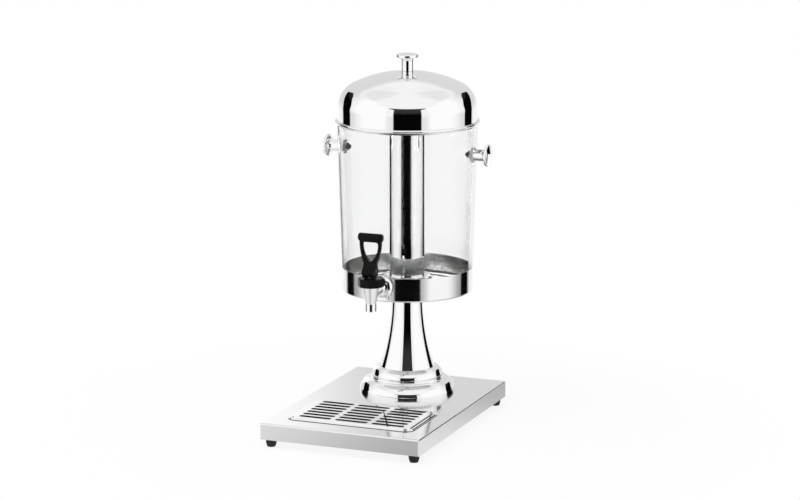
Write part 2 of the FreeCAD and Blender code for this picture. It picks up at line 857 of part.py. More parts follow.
def make_lid_knob_washer():
    hole = knob_screw_diameter / 2 + bolt_hole_gap
    top = lid_washer_top()
    low = top - lid_washer_thickness
    outer = lid_washer_diameter / 2
    return on_column(turned((hole, low), (outer, low), (outer, top), (hole, top)))


def make_lid_knob_screw():
    under = lid_washer_top() - lid_washer_thickness
    low = under - lid_screw_head_height
    end = lid_apex_z + knob_thread_depth - knob_screw_diameter / 2
    head = lid_screw_head_diameter / 2
    radius = knob_screw_diameter / 2
    return on_column(turned((0, low), (head, low), (head, under), (radius, under), (radius, end), (0, end)))


# Tap

def shank_place(distance):
    """Point of the tap's shank at a distance in front of the tank's axis."""
    return Vector(0, column_y - distance, shank_z)


def shank_hole():
    """Hole through the band and the tank wall for the tap's shank."""
    start = band_radius - band_sheet - 3 * tank_wall
    return rod(shank_thread_radius + bolt_hole_gap, band_radius + tank_wall - start,
               shank_place(start), -Y_AXIS)


def rosette_seat():
    return band_radius + outer_gasket_thickness


def make_tap_body():
    axis_distance = band_radius + tap_reach
    lip = (outlet_radius - outlet_round, outlet_z + outlet_round)
    collar_top = cone_top_z + collar_height
    body = on_tap(turned(
        (0, outlet_z), (lip[0], outlet_z), swing(lip, outlet_round, -90, 0), (outlet_radius, cone_foot_z),
        (cone_foot_radius, cone_foot_z), (cone_top_radius, cone_top_z), (collar_radius, cone_top_z),
        (collar_radius, collar_top), (0, collar_top)))
    hub_end = rosette_seat() + rosette_thickness
    hub = rod(shank_hub_radius, axis_distance - hub_end, shank_place(hub_end), -Y_AXIS)
    shank_end = tank_bore_at(shank_z) - shank_end_from_wall
    shank = rod(shank_thread_radius, axis_distance - shank_end, shank_place(shank_end), -Y_AXIS)
    body = body.fuse([hub, shank])
    chamber = on_tap(rod(chamber_radius, collar_top - seat_z, Vector(0, 0, seat_z)))
    outlet = on_tap(rod(outlet_bore_radius, seat_z - outlet_z, Vector(0, 0, outlet_z)))
    bore = rod(shank_bore_radius, axis_distance - shank_end, shank_place(shank_end), -Y_AXIS)
    return body.cut([chamber, outlet, bore])


def make_tap_rosette():
    hole = shank_thread_radius + thread_gap
    crown = rosette_thickness + rosette_dome
    hub = shank_hub_radius + bolt_hole_gap
    middle = ((rosette_radius + hub) / 2, rosette_thickness + rosette_dome * rosette_fullness)
    dish = turned((hole, 0), (rosette_radius, 0), (rosette_radius, rosette_thickness / 2),
                  (middle, (hub, crown)), (hub, rosette_thickness), (hole, rosette_thickness))
    return laid(dish, -Y_AXIS, shank_place(rosette_seat()))


def make_tap_outer_gasket():
    hole = shank_thread_radius + bolt_hole_gap
    back = band_radius - rosette_radius / 2
    ring = turned((hole, back), (outer_gasket_radius, back), (outer_gasket_radius, rosette_seat()),
                  (hole, rosette_seat()))
    ring = laid(ring, -Y_AXIS, shank_place(0))
    core = on_column(rod(band_radius, 2 * band_height, Vector(0, 0, band_bottom_z - band_height / 2)))
    return ring.cut([core, tank_outside()])


def make_tap_inner_gasket():
    hole = shank_thread_radius + bolt_hole_gap
    front = tank_bore_at(shank_z)
    back = front - inner_gasket_thickness
    ring = turned((hole, back), (inner_gasket_radius, back), (inner_gasket_radius, front + tank_wall / 2),
                  (hole, front + tank_wall / 2))
    return laid(ring, -Y_AXIS, shank_place(0)).common(tank_inside())


def make_tap_lock_nut():
    face = tank_bore_at(shank_z) - inner_gasket_thickness
    nut = prism(6, lock_nut_across_flats, lock_nut_height)
    nut = nut.cut(rod(shank_thread_radius + thread_gap, lock_nut_height, Vector(0, 0, 0)))
    return laid(nut, Y_AXIS, shank_place(face))


def make_tap_bonnet():
    corner = bonnet_across_flats / 2 / math.cos(math.pi / 8)
    flat_radius = corner - bonnet_chamfer
    blank = prism(8, bonnet_across_flats, bonnet_height, bonnet_turn)
    trim = turned((0, 0), (flat_radius, 0), (corner, bonnet_chamfer),
                  (corner, bonnet_height - bonnet_chamfer), (flat_radius, bonnet_height), (0, bonnet_height))
    bonnet = blank.common(trim).translated(Vector(0, 0, cone_top_z))
    room = rod(collar_radius + thread_gap, bonnet_height - bonnet_roof, Vector(0, 0, cone_top_z))
    hole = rod(stem_diameter / 2 + running_gap, 2 * bonnet_height, Vector(0, 0, cone_top_z))
    return on_tap(bonnet.cut([room, hole]))


def make_tap_stem():
    radius = stem_diameter / 2
    bottom = seat_z + seat_cup_floor
    stem = on_tap(rod(radius, pin_z + stem_above_pin - bottom, Vector(0, 0, bottom)))
    hole = rod(handle_pin_diameter / 2 + running_gap, 2 * stem_diameter,
               Vector(-stem_diameter, tap_y, pin_z), X_AXIS)
    return stem.cut(hole)


def make_tap_seat_cup():
    bore = stem_diameter / 2
    low = seat_z
    inside = seat_z + seat_cup_floor
    top = seat_z + seat_cup_height
    return on_tap(turned((0, low), (seat_cup_radius, low), (seat_cup_radius, top - seat_cup_round),
                         (seat_cup_radius - seat_cup_round, top), (bore, top), (bore, inside), (0, inside)))


def make_tap_spring():
    low = seat_z + seat_cup_height
    top = bonnet_top_z - bonnet_roof
    return on_tap(turned((spring_inner_radius, low), (spring_outer_radius, low), (spring_outer_radius, top),
                         (spring_inner_radius, top)))


# Tap handle

def handle_block():
    """Lower end of the handle: a round cam, set forward of its pin, that tapers up into the arms."""
    cam_radius = pin_above_bonnet - cam_clearance
    centre = (-cam_offset, pin_z)
    top = bonnet_top_z + block_height
    half = block_neck_depth / 2
    side = outline(on_circle(centre, cam_radius, 0), (-half + block_neck_depth, top), (-half, top),
                   on_circle(centre, cam_radius, 180), swing(centre, cam_radius, 180, 360))
    block = side.extrude(Vector(0, block_width, 0)).translated(Vector(0, -block_width / 2, 0))
    block.rotate(Vector(0, 0, 0), Z_AXIS, 90)
    return block


def stem_slot():
    """Room in the handle for the stem over the handle's whole tilt."""
    width = stem_diameter + 2 * slot_side_gap
    room = stem_diameter / 2 + slot_end_gap
    tilt = math.radians(handle_tilt_limit)
    reach = 3 * pin_above_bonnet
    edge = (-room * math.cos(tilt), pin_z + room * math.sin(tilt))
    far = (edge[0] - reach * math.sin(tilt), edge[1] - reach * math.cos(tilt))
    side = outline((room, pin_z), (room, pin_z - reach), (far[0], pin_z - reach), far, edge)
    slot = side.extrude(Vector(0, width, 0)).translated(Vector(0, -width / 2, 0))
    slot.rotate(Vector(0, 0, 0), Z_AXIS, 90)
    swept = math.hypot(stem_above_pin, stem_diameter / 2) + slot_end_gap
    return slot.fuse(rod(swept, width, Vector(-width / 2, 0, pin_z), X_AXIS))


def handle_arms():
    """Flat fork with the finger window, from the block up to the grip."""
    foot_z = bonnet_top_z + arm_foot_rise
    waist_z = bonnet_top_z + arm_waist_rise
    grip_z = bonnet_top_z + grip_above_bonnet
    half = block_width / 2
    right = ((arm_waist_half_width, waist_z), (arm_top_half_width, grip_z - grip_diameter / 2))
    left = ((-arm_waist_half_width, waist_z), (-half, foot_z))
    fork = outline((half, foot_z), right, (arm_top_half_width, grip_z), (-arm_top_half_width, grip_z),
                   (-right[1][0], right[1][1]), left)
    top = grip_z - grip_diameter / 2 - slot_end_gap
    waist = bonnet_top_z + window_waist_rise
    low = bonnet_top_z + window_foot_rise
    bottom = bonnet_top_z + window_bottom_rise
    corner = (window_top_half_width - window_top_round, top - window_top_round)
    window = outline((-corner[0], top), (corner[0], top), swing(corner, window_top_round, 90, 0),
                     ((window_waist_half_width, waist), (window_foot_half_width, low)),
                     ((0, bottom), (-window_foot_half_width, low)),
                     ((-window_waist_half_width, waist), (-window_top_half_width, corner[1])),
                     swing((-corner[0], corner[1]), window_top_round, 180, 90))
    plate = fork.cut(window).extrude(Vector(0, block_neck_depth, 0))
    return plate.translated(Vector(0, -block_neck_depth / 2, 0))


def make_tap_handle():
    grip_z = bonnet_top_z + grip_above_bonnet
    radius = grip_diameter / 2
    half = grip_length / 2
    inner = half - grip_round
    core = radius - grip_round
    grip = turned((0, -half), (core, -half), swing((core, -inner), grip_round, -90, 0),
                  (radius, inner), swing((core, inner), grip_round, 0, 90), (0, half))
    grip = laid(grip, X_AXIS, Vector(0, 0, grip_z))
    pin_hole = rod(handle_pin_diameter / 2, 2 * block_width, Vector(-block_width, 0, pin_z), X_AXIS)
    handle = handle_block().fuse([handle_arms(), grip]).cut([stem_slot(), pin_hole])
    return on_tap(handle.removeSplitter())


def make_handle_pin():
    start = Vector(-block_width / 2, tap_y, pin_z)
    return rod(handle_pin_diameter / 2, block_width, start, X_AXIS)


def main():
    nodes = {
        "base_shell": make_base_shell(),
        "base_bottom_plate": make_base_bottom_plate(),
        "rubber_feet": make_rubber_feet(),
        "foot_screws": make_foot_screws(),
        "foot_nuts": make_foot_nuts(),
        "pedestal_foot": make_pedestal_foot(),
        "pedestal_neck": make_pedestal_neck(),
        "pedestal_ring": make_pedestal_ring(),
        "pedestal_bolts": make_pedestal_bolts(),
        "neck_socket": make_neck_socket(),
        "drip_tray": make_drip_tray(),
        "drip_grid": make_drip_grid(),
        "tank_band": make_tank_band(),
        "clear_tank": make_clear_tank(),
        "ice_tube": make_ice_tube(),
        "ice_tube_foot": make_ice_tube_foot(),
        "ice_tube_gasket": make_ice_tube_gasket(),
        "clamp_spacer": make_clamp_spacer(),
        "spigot_nut": make_spigot_nut(),
        "left_knob": make_side_knob(-1),
        "right_knob": make_side_knob(1),
        "knob_gaskets": make_knob_gaskets(),
        "knob_washers": make_knob_washers(),
        "knob_cap_nuts": make_knob_cap_nuts(),
        "lid_shell": make_lid_shell(),
        "lid_locating_ring": make_lid_locating_ring(),
        "lid_knob": make_lid_knob(),
        "lid_knob_washer": make_lid_knob_washer(),
        "lid_knob_screw": make_lid_knob_screw(),
        "tap_body": make_tap_body(),
        "tap_rosette": make_tap_rosette(),
        "tap_outer_gasket": make_tap_outer_gasket(),
        "tap_inner_gasket": make_tap_inner_gasket(),
        "tap_lock_nut": make_tap_lock_nut(),
        "tap_bonnet": make_tap_bonnet(),
        "tap_spring": make_tap_spring(),
        "tap_stem": make_tap_stem(),
        "tap_seat_cup": make_tap_seat_cup(),
        "tap_handle": make_tap_handle(),
        "handle_pin": make_handle_pin(),
    }
    os.makedirs("parts", exist_ok=True)
    for name, shape in nodes.items():
        shape.exportStep("parts/" + name + ".step")


main()
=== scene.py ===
"""Cold juice dispenser: finishes, fine pieces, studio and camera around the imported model."""

import math

import bmesh
import bpy
from bpy.props import FloatProperty, FloatVectorProperty, IntProperty, PointerProperty
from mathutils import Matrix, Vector


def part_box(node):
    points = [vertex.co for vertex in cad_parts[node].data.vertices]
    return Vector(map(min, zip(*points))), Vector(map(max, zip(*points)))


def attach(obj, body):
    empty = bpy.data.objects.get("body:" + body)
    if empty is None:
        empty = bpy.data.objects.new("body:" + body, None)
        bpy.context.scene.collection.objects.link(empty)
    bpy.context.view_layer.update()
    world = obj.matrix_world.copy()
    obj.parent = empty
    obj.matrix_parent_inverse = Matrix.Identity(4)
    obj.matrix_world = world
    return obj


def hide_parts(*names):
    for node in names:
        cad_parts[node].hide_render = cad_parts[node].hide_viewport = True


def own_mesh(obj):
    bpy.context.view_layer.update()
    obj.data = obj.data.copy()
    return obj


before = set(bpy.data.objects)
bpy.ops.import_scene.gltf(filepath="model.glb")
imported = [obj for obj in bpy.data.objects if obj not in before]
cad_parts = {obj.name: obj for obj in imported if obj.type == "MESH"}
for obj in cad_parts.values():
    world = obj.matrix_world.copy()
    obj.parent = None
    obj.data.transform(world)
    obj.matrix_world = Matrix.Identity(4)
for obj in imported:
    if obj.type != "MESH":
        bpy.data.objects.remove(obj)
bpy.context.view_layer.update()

bl_info = {
    "name": "Juice dispenser",
    "version": (1, 0, 0),
    "blender": (4, 5, 0),
    "location": "View3D > Sidebar > Dispenser",
    "description": "Finishes, fine pieces, studio and camera for a cold juice dispenser",
    "category": "Object",
}

DEGREES = 180 / math.pi
COLUMN_Y = sum(corner.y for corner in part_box("pedestal_neck")) / 2
TRAY_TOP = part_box("drip_tray")[1].z
BAND_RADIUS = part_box("tank_band")[1].x
TAP_Y = sum(corner.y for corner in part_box("tap_spring")) / 2
RELIEF_DEPTH = 0.00002
CLOUD_SCALE = 14.0
CLOUD_PLACE = (3, 1, 2)
STEEL_GREY = (0.62, 0.62, 0.61)
INNER_GREY = (0.86, 0.86, 0.86)
NUT_GREY = (0.1, 0.1, 0.1)
SOCKET_WHITE = (0.82, 0.82, 0.8)
SILICONE_WHITE = (0.84, 0.85, 0.84)
LAMP_PLACE = (-0.5, -0.6, 1.9)
LAMP_TARGET = (0, 0.05, 0.25)
CARDS = {
    "back_left_card": {"across": (-0.42, 0.0), "toward": -0.75, "heights": (0.05, 0.4)},
    "right_card": {"across": (0.26, 0.56), "toward": -0.15, "heights": (0.3, 0.4)},
}


class FinishSettings(bpy.types.PropertyGroup):
    """Colours and gloss of the dispenser's materials."""

    steel_colour: FloatVectorProperty(
        name="Steel", description="Colour of the polished steel",
        subtype="COLOR", default=(0.9, 0.9, 0.9))
    polish: FloatProperty(
        name="Polish", description="Roughness of the polished steel",
        subtype="FACTOR", default=0.025, min=0, max=1)
    brushed_colour: FloatVectorProperty(
        name="Brushed steel", description="Colour of the brushed steel",
        subtype="COLOR", default=(0.84, 0.84, 0.84))
    brushing: FloatProperty(
        name="Brushing", description="Roughness of the brushed band",
        subtype="FACTOR", default=0.09, min=0, max=1)
    satin: FloatProperty(
        name="Satin", description="Roughness of the satin base",
        subtype="FACTOR", default=0.11, min=0, max=1)
    chrome_colour: FloatVectorProperty(
        name="Chrome", description="Colour of the plated tap",
        subtype="COLOR", default=(0.92, 0.92, 0.93))
    clear_colour: FloatVectorProperty(
        name="Tank", description="Tint of the clear tank",
        subtype="COLOR", default=(0.952, 0.954, 0.954))
    clear_index: FloatProperty(
        name="Tank index", description="How strongly the clear tank bends light",
        default=1.25, min=1, max=2)
    # Painted shade: how light the pan under the tray's rim is painted, darkened to stand in for the
    # shade inside the tray.
    tray_painted_shade: FloatProperty(
        name="Tray shade", description="How much of the light the dark pan of the tray gives back",
        subtype="FACTOR", default=0.15, min=0, max=1)
    inner_gloss: FloatProperty(
        name="Inner gloss", description="Roughness inside the band",
        subtype="FACTOR", default=0.22, min=0, max=1)
    black_colour: FloatVectorProperty(
        name="Black", description="Colour of the handle and bonnet",
        subtype="COLOR", default=(0.003, 0.003, 0.003))
    rubber_colour: FloatVectorProperty(
        name="Rubber", description="Colour of the feet",
        subtype="COLOR", default=(0.008, 0.008, 0.008))


class SizeSettings(bpy.types.PropertyGroup):
    """Sizes of the fine pieces that the scene adds."""

    spring_wire: FloatProperty(
        name="Spring wire", description="Thickness of the tap spring's wire",
        unit="LENGTH", default=0.0012)
    lid_sheet: FloatProperty(
        name="Lid sheet", description="Thickness of the lid", unit="LENGTH", default=0.001)
    lid_bead: FloatProperty(
        name="Lid bead", description="Radius of the bead round the lid's rim",
        unit="LENGTH", default=0.0021)
    lid_bead_overlap: FloatProperty(
        name="Bead overlap", description="How far the bead sinks into the wall",
        unit="LENGTH", default=0.0002)
    lid_wall: FloatProperty(
        name="Lid wall", description="Height of the lid's upright wall",
        unit="LENGTH", default=0.0224)
    lid_shoulder: FloatProperty(
        name="Lid shoulder", description="Radius of the lid's rounded shoulder",
        unit="LENGTH", default=0.042)
    lid_rise: FloatProperty(
        name="Lid rise", description="Height of the dome over the wall",
        unit="LENGTH", default=0.0575)
    lid_hole: FloatProperty(
        name="Lid hole", description="Radius of the hole under the knob",
        unit="LENGTH", default=0.0032)
    spring_turns: IntProperty(
        name="Spring turns", description="Turns of the tap spring", default=8, min=2, max=30)


class StageSettings(bpy.types.PropertyGroup):
    """Camera, light and floor."""

    azimuth: FloatProperty(
        name="Azimuth", description="Camera's angle round the object",
        subtype="ANGLE", default=math.radians(21.83))
    elevation: FloatProperty(
        name="Elevation", description="Camera's angle above the floor",
        subtype="ANGLE", default=math.radians(11.8))
    distance: FloatProperty(
        name="Distance", description="Camera's distance from its target",
        unit="LENGTH", default=4.3688)
    target_height: FloatProperty(
        name="Target height", description="Height that the camera looks at",
        unit="LENGTH", default=0.26266)
    lens: FloatProperty(name="Lens", description="Focal length in millimetres", default=124.69)
    shift: FloatProperty(name="Shift", description="Sideways shift of the lens", default=-0.00925)
    panel: FloatProperty(
        name="Panel", description="Half width of the dark panel behind the camera", subtype="ANGLE",
        default=math.radians(22.8))
    ambient: FloatProperty(name="Ambient", description="Level of the even light", default=0.85, min=0)
    lamp_size: FloatProperty(
        name="Lamp size", description="Width of the lamp overhead", unit="LENGTH", default=1.6)
    lamp_power: FloatProperty(
        name="Lamp power", description="Power of the lamp overhead, in watts", default=14, min=0)
    floor_radius: FloatProperty(
        name="Floor", description="Radius of the floor around the object",
        unit="LENGTH", default=0.7)


class NodeSheet:
    """Adds shader nodes to one tree with short calls."""

    def __init__(self, tree):
        self.tree = tree
        tree.nodes.clear()

    def add(self, kind, inputs=None, **settings):
        node = self.tree.nodes.new(kind)
        for name, value in settings.items():
            setattr(node, name, value)
        for key, value in (inputs or {}).items():
            self.put(node.inputs[key], value)
        return node

    def put(self, socket, value):
        if isinstance(value, bpy.types.NodeSocket):
            self.tree.links.new(value, socket)
        else:
            socket.default_value = value

    def math(self, operation, *values):
        return self.add("ShaderNodeMath", dict(enumerate(values)), operation=operation).outputs[0]

    def plus(self, *values):
        total = values[0]
        for value in values[1:]:
            total = self.math("ADD", total, value)
        return total

    def times(self, *values):
        total = values[0]
        for value in values[1:]:
            total = self.math("MULTIPLY", total, value)
        return total

    def less(self, first, second):
        return self.math("SUBTRACT", first, second)

    def rise(self, value, low, high):
        """0 up to low, 1 from high, and a smooth step between them."""
        inputs = {0: value, 1: low, 2: high}
        return self.add("ShaderNodeMapRange", inputs, interpolation_type="SMOOTHSTEP").outputs[0]

    def fall(self, value, low, high):
        """1 up to low, 0 from high."""
        return self.less(1.0, self.rise(value, low, high))

    def between(self, factor, first, second):
        """first at factor 0, second at factor 1."""
        return self.plus(first, self.times(factor, self.less(second, first)))

    def noise(self, scale, stretch=(1, 1, 1), detail=3.0, place=(0, 0, 0)):
        where = self.add("ShaderNodeTexCoord").outputs["Object"]
        mapped = self.add("ShaderNodeMapping", {"Vector": where, "Location": place, "Scale": stretch})
        inputs = {"Vector": mapped.outputs[0], "Scale": scale, "Detail": detail}
        return self.add("ShaderNodeTexNoise", inputs).outputs[0]

    def clouds(self):
        return self.noise(CLOUD_SCALE, place=CLOUD_PLACE)

    def grey(self, value):
        return self.add("ShaderNodeCombineColor", {0: value, 1: value, 2: value}).outputs[0]


def new_material(name):
    material = bpy.data.materials.new(name)
    material.use_nodes = True
    sheet = NodeSheet(material.node_tree)
    shader = sheet.add("ShaderNodeBsdfPrincipled")
    output = sheet.add("ShaderNodeOutputMaterial")
    sheet.put(output.inputs["Surface"], shader.outputs[0])
    return material, sheet, shader


def tone(sheet, shader, colour, value, depth):
    """Varies a plain colour by a share of depth, up and down."""
    level = sheet.plus(1 - depth, sheet.times(value, 2 * depth))
    parts = [sheet.times(level, channel) for channel in colour]
    mixed = sheet.add("ShaderNodeCombineColor", dict(enumerate(parts)))
    sheet.put(shader.inputs["Base Color"], mixed.outputs[0])


def bump(sheet, shader, height, strength, distance):
    node = sheet.add("ShaderNodeBump", {"Height": height, "Strength": strength, "Distance": distance})
    sheet.put(shader.inputs["Normal"], node.outputs[0])


def metal(name, colour, roughness, spread, scale, stretch, depth, relief=0.0):
    """A metal whose gloss and tone vary along fine polishing or brushing lines."""
    material, sheet, shader = new_material(name)
    lines = sheet.noise(scale, stretch)
    clouds = sheet.clouds()
    shader.inputs["Metallic"].default_value = 1.0
    tone(sheet, shader, colour, clouds, depth)
    level = sheet.plus(roughness - spread, sheet.times(lines, spread), sheet.times(clouds, spread))
    sheet.put(shader.inputs["Roughness"], level)
    if relief:
        bump(sheet, shader, lines, relief, RELIEF_DEPTH)
    return material


def tray_metal(colour, roughness, shade):
    """Polished rim with painted shade below it: the pan under the rim is painted dark to stand in for
    shade, and is duller.
    """
    material, sheet, shader = new_material("drip_tray_steel")
    clouds = sheet.clouds()
    place = sheet.add("ShaderNodeTexCoord").outputs["Object"]
    height = sheet.add("ShaderNodeSeparateXYZ", {0: place}).outputs[2]
    # Painted shade: below the rim the colour falls to the painted shade level, and the steel turns
    # duller.
    rim = sheet.rise(height, TRAY_TOP - 0.0004, TRAY_TOP - 0.0001)
    level = sheet.between(rim, shade, colour[0])
    sheet.put(shader.inputs["Base Color"], sheet.grey(sheet.plus(level, sheet.times(clouds, 0.01))))
    shader.inputs["Metallic"].default_value = 1.0
    dullness = 0.4
    gloss = sheet.plus(sheet.between(rim, dullness, roughness), sheet.times(clouds, 0.02))
    sheet.put(shader.inputs["Roughness"], gloss)
    return material


def banded_metal(colour, roughness, inner_roughness):
    """Brushed steel outside the band, and smoother steel inside it."""
    material, sheet, shader = new_material("brushed_band_steel")
    lines = sheet.noise(30, (1, 1, 60))
    clouds = sheet.clouds()
    place = sheet.add("ShaderNodeTexCoord").outputs["Object"]
    east, north, _ = sheet.add("ShaderNodeSeparateXYZ", {0: place}).outputs
    north = sheet.less(north, COLUMN_Y)
    radius = sheet.math("SQRT", sheet.plus(sheet.times(east, east), sheet.times(north, north)))
    outside = sheet.rise(radius, BAND_RADIUS - 0.0006, BAND_RADIUS - 0.0003)
    tone(sheet, shader, colour, clouds, 0.015)
    shader.inputs["Metallic"].default_value = 1.0
    spread = 0.03
    level = sheet.between(outside, inner_roughness, roughness - spread)
    sheet.put(shader.inputs["Roughness"], sheet.plus(level, sheet.times(lines, 2 * spread)))
    bump(sheet, shader, lines, 0.05, RELIEF_DEPTH)
    return material


def make_materials(settings):
    """Every finish of the dispenser, by the record's slot names and a few closer ones."""
    steel = tuple(settings.steel_colour)
    brushed = tuple(settings.brushed_colour)
    chrome = tuple(settings.chrome_colour)
    made = {
        "polished_steel": metal("polished_steel", steel, settings.polish, 0.012, 60, (1, 1, 30), 0.008),
        "band_steel": banded_metal(brushed, settings.brushing, settings.inner_gloss),
        "inner_steel": metal("satin_inner_steel", INNER_GREY, 0.36, 0.05, 40, (1, 1, 40), 0.03, 0.05),
        "tray_steel": tray_metal(steel, settings.polish, settings.tray_painted_shade),
        "base_steel": metal(
            "satin_base_steel", brushed, settings.satin, 0.03, 40, (1, 50, 50), 0.012, 0.02),
        "plain_steel": metal("plain_turned_steel", STEEL_GREY, 0.3, 0.06, 300, (1, 1, 4), 0.05, 0.1),
        "dark_steel": metal("dark_nut_steel", NUT_GREY, 0.25, 0.05, 300, (1, 1, 4), 0.05, 0.1),
        "chrome": metal("chrome_plate", chrome, 0.02, 0.008, 200, (1, 1, 1), 0.006),
    }

    material, sheet, shader = new_material("clear_tank_plastic")
    shader.inputs["Base Color"].default_value = (*settings.clear_colour, 1)
    shader.inputs["Transmission Weight"].default_value = 1.0
    shader.inputs["IOR"].default_value = settings.clear_index
    sheet.put(shader.inputs["Roughness"], sheet.times(sheet.noise(18.0), 0.008))
    made["clear_plastic"] = material

    material, sheet, shader = new_material("satin_black_plastic")
    grain = sheet.noise(2600.0, detail=2.0)
    wear = sheet.noise(90.0, place=(1, 2, 3))
    tone(sheet, shader, tuple(settings.black_colour), wear, 0.25)
    sheet.put(shader.inputs["Roughness"], sheet.plus(0.22, sheet.times(wear, 0.16)))
    shader.inputs["Specular IOR Level"].default_value = 0.1
    bump(sheet, shader, grain, 0.08, 0.00003)
    made["black_plastic"] = material

    material, sheet, shader = new_material("black_foot_rubber")
    grain = sheet.noise(1500.0, detail=4.0)
    tone(sheet, shader, tuple(settings.rubber_colour), grain, 0.3)
    sheet.put(shader.inputs["Roughness"], sheet.plus(0.55, sheet.times(grain, 0.2)))
    bump(sheet, shader, grain, 0.2, 0.0001)
    made["black_rubber"] = material

    material, sheet, shader = new_material("white_turned_plastic")
    lines = sheet.noise(500.0, (1, 1, 6))
    tone(sheet, shader, SOCKET_WHITE, lines, 0.04)
    sheet.put(shader.inputs["Roughness"], sheet.plus(0.4, sheet.times(lines, 0.15)))
    bump(sheet, shader, lines, 0.1, 0.00005)
    made["white_plastic"] = material

    material, sheet, shader = new_material("milky_silicone")
    clouds = sheet.noise(400.0)
    tone(sheet, shader, SILICONE_WHITE, clouds, 0.04)
    sheet.put(shader.inputs["Roughness"], sheet.plus(0.38, sheet.times(clouds, 0.1)))
    shader.inputs["Transmission Weight"].default_value = 0.35
    bump(sheet, shader, clouds, 0.1, 0.0001)
    made["silicone"] = material
    return made


finishes = {}


def dress(finish, *names):
    """Gives carried-over nodes their finish."""
    for name in names:
        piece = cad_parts[name]
        piece.data.materials.clear()
        piece.data.materials.append(finishes[finish])


def add_piece(name, mesh, body, finish, slot, *replaced):
    """Puts a new mesh on a body, with its finish and the nodes that it stands for."""
    piece = bpy.data.objects.new(name, mesh)
    bpy.context.scene.collection.objects.link(piece)
    mesh.materials.append(finishes[finish])
    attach(piece, body)
    if replaced:
        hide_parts(*replaced)
    return piece


def sweep(name, points, radius, sides=12):
    """A closed round tube along points, with flat ends."""
    mesh = bpy.data.meshes.new(name)
    form = bmesh.new()
    rings = []
    for index, point in enumerate(points):
        before = points[max(index - 1, 0)]
        after = points[min(index + 1, len(points) - 1)]
        along = (after - before).normalized()
        out = along.cross(Vector((0, 0, 1))).normalized()
        up = out.cross(along)
        ring = []
        for side in range(sides):
            turn = 2 * math.pi * side / sides
            ring.append(form.verts.new(point + radius * (math.cos(turn) * out + math.sin(turn) * up)))
        rings.append(ring)
    for first, second in zip(rings, rings[1:]):
        for side in range(sides):
            after = (side + 1) % sides
            form.faces.new((first[side], second[side], second[after], first[after]))
    form.faces.new(rings[0])
    form.faces.new(reversed(rings[-1]))
    bmesh.ops.recalc_face_normals(form, faces=form.faces)
    for face in form.faces:
        face.smooth = len(face.verts) == 4
    form.to_mesh(mesh)
    form.free()
    return mesh


def arc(centre, radius, first, last, count):
    """Points along part of a circle, in degrees."""
    points = []
    for step in range(count + 1):
        angle = math.radians(first + (last - first) * step / count)
        points.append((centre[0] + radius * math.cos(angle), centre[1] + radius * math.sin(angle)))
    return points


def turn_round(name, outline, sides=240):
    """A closed outline of radius and height, turned round the column's axis."""
    mesh = bpy.data.meshes.new(name)
    form = bmesh.new()
    rings = []
    for side in range(sides):
        angle = 2 * math.pi * side / sides
        ring = []
        for radius, height in outline:
            place = (radius * math.cos(angle), COLUMN_Y + radius * math.sin(angle), height)
            ring.append(form.verts.new(place))
        rings.append(ring)
    count = len(outline)
    for side in range(sides):
        first, second = rings[side], rings[(side + 1) % sides]
        for index in range(count):
            after = (index + 1) % count
            form.faces.new((first[index], second[index], second[after], first[after]))
    bmesh.ops.recalc_face_normals(form, faces=form.faces)
    for face in form.faces:
        face.smooth = True
    form.to_mesh(mesh)
    form.free()
    mesh.set_sharp_from_angle(angle=math.radians(30))
    return mesh


def lid_outline(sizes):
    """Section of the lid: wall with its bead, rounded shoulder and flat crown, outside and inside."""
    low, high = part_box("lid_shell")
    wall = high.x - 2 * sizes.lid_bead + sizes.lid_bead_overlap
    foot = low.z + sizes.lid_sheet
    shoulder_height = foot + sizes.lid_wall
    reach = wall - sizes.lid_shoulder
    spare = sizes.lid_rise - sizes.lid_shoulder
    crown = (reach ** 2 + sizes.lid_rise ** 2 - sizes.lid_shoulder ** 2) / (2 * spare)
    shoulder_centre = (reach, shoulder_height)
    crown_centre = (0, shoulder_height + sizes.lid_rise - crown)
    meet = math.degrees(math.atan2(shoulder_height - crown_centre[1], reach))

    def dome(inset):
        last = math.degrees(math.acos(sizes.lid_hole / (crown - inset)))
        return (arc(shoulder_centre, sizes.lid_shoulder - inset, 0, meet, 48)
                + arc(crown_centre, crown - inset, meet, last, 32)[1:])

    bead_centre = (wall - sizes.lid_bead_overlap + sizes.lid_bead, low.z + sizes.lid_bead)
    bead_turn = math.degrees(math.acos(1 - sizes.lid_bead_overlap / sizes.lid_bead))
    bead = arc(bead_centre, sizes.lid_bead, bead_turn - 180, 180 - bead_turn, 28)
    outside = [(wall, foot)] + bead + dome(0)
    inside = [(wall - sizes.lid_sheet, foot)] + dome(sizes.lid_sheet)
    return outside + inside[::-1]


class MakeFinishes(bpy.types.Operator):
    """Make the materials that the other steps use"""

    bl_idname = "dispenser.make_finishes"
    bl_label = "Finishes"

    def execute(self, context):
        finishes.update(make_materials(context.scene.dispenser_finish))
        return {"FINISHED"}


class FinishBase(bpy.types.Operator):
    """Satin steel base with its bottom plate"""

    bl_idname = "dispenser.finish_base"
    bl_label = "Base"

    def execute(self, context):
        dress("base_steel", "base_shell")
        dress("plain_steel", "base_bottom_plate")
        return {"FINISHED"}


class FinishFeet(bpy.types.Operator):
    """Rubber feet with their screws and nuts"""

    bl_idname = "dispenser.finish_feet"
    bl_label = "Feet"

    def execute(self, context):
        dress("black_rubber", "rubber_feet")
        dress("plain_steel", "foot_screws", "foot_nuts")
        return {"FINISHED"}


class FinishPedestal(bpy.types.Operator):
    """Polished pedestal and what holds it"""

    bl_idname = "dispenser.finish_pedestal"
    bl_label = "Pedestal"

    def execute(self, context):
        dress("polished_steel", "pedestal_foot", "pedestal_neck")
        dress("plain_steel", "pedestal_ring", "pedestal_bolts")
        dress("white_plastic", "neck_socket")
        return {"FINISHED"}


class FinishDripTray(bpy.types.Operator):
    """Drip tray and slotted grid"""

    bl_idname = "dispenser.finish_drip_tray"
    bl_label = "Drip tray"

    def execute(self, context):
        dress("polished_steel", "drip_grid")
        dress("tray_steel", "drip_tray")
        return {"FINISHED"}


